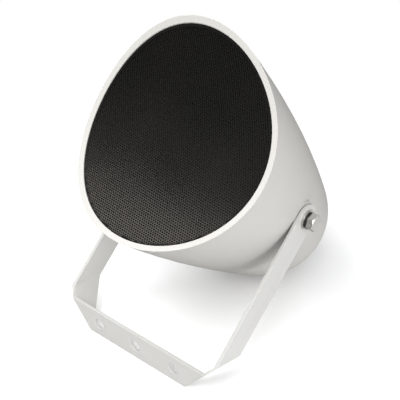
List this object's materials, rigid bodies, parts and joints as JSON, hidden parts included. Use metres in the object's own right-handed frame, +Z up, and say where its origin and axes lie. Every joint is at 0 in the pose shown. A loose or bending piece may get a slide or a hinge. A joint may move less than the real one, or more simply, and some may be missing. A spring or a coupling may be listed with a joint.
{
  "type": "projection_speaker",
  "caption": "Projection speaker with a scooped round housing and perforated grille, tilting between the arms of a steel U bracket",
  "frame": {"origin": "centre of the middle fixing hole on the outer face of the bracket's base", "axes": "+X right along the tilt axis, -Y the way the mounting face looks, +Z up as the speaker stands on its bracket and tail"},
  "size_m": [0.1766, 0.2403, 0.2669],
  "materials": {
    "moulding": "satin",
    "grille": "satin",
    "cloth": "matte",
    "pressing": "satin",
    "soft": "matte",
    "zinc": "satin",
    "paper": "matte",
    "copper": "satin",
    "doped_cloth": "matte",
    "ferrite": "matte",
    "moulding_inner": "satin",
    "gland": "satin",
    "brass": "satin",
    "fibre": "matte",
    "coated_steel": "satin"
  },
  "bodies": {
    "bracket_body": {"bracket": "coated_steel"},
    "housing_body": {"housing_shell": "moulding", "grille": "grille", "dust_cloth": "cloth", "driver_basket": "pressing", "driver_gasket": "soft", "driver_screws": "zinc", "surround": "soft", "paper_cone": "paper", "dust_cap": "paper", "voice_coil": "copper", "spider": "doped_cloth", "magnet_top_plate": "zinc", "magnet": "ferrite", "pole_piece": "zinc", "transformer_core": "ferrite", "transformer_winding": "copper", "transformer_strap": "zinc", "transformer_screws": "zinc", "terminal_block": "moulding_inner", "terminal_screw": "zinc", "gland_body": "gland", "gland_nut": "gland", "gland_seal": "soft", "gland_locknut": "gland", "insert_right": "brass", "insert_left": "brass", "pivot_bolt_right": "zinc", "pivot_bolt_left": "zinc", "spring_washer_right": "zinc", "spring_washer_left": "zinc", "flat_washer_right": "zinc", "flat_washer_left": "zinc", "fibre_washer_right": "fibre", "fibre_washer_left": "fibre"}
  },
  "joints": [
    {"name": "housing_tilt", "type": "hinge", "parent": "bracket_body", "child": "housing_body", "pos_m": [0, 0.11993, 0.09681], "axis": [1, 0, 0], "range_deg": [-90, 25]}
  ]
}
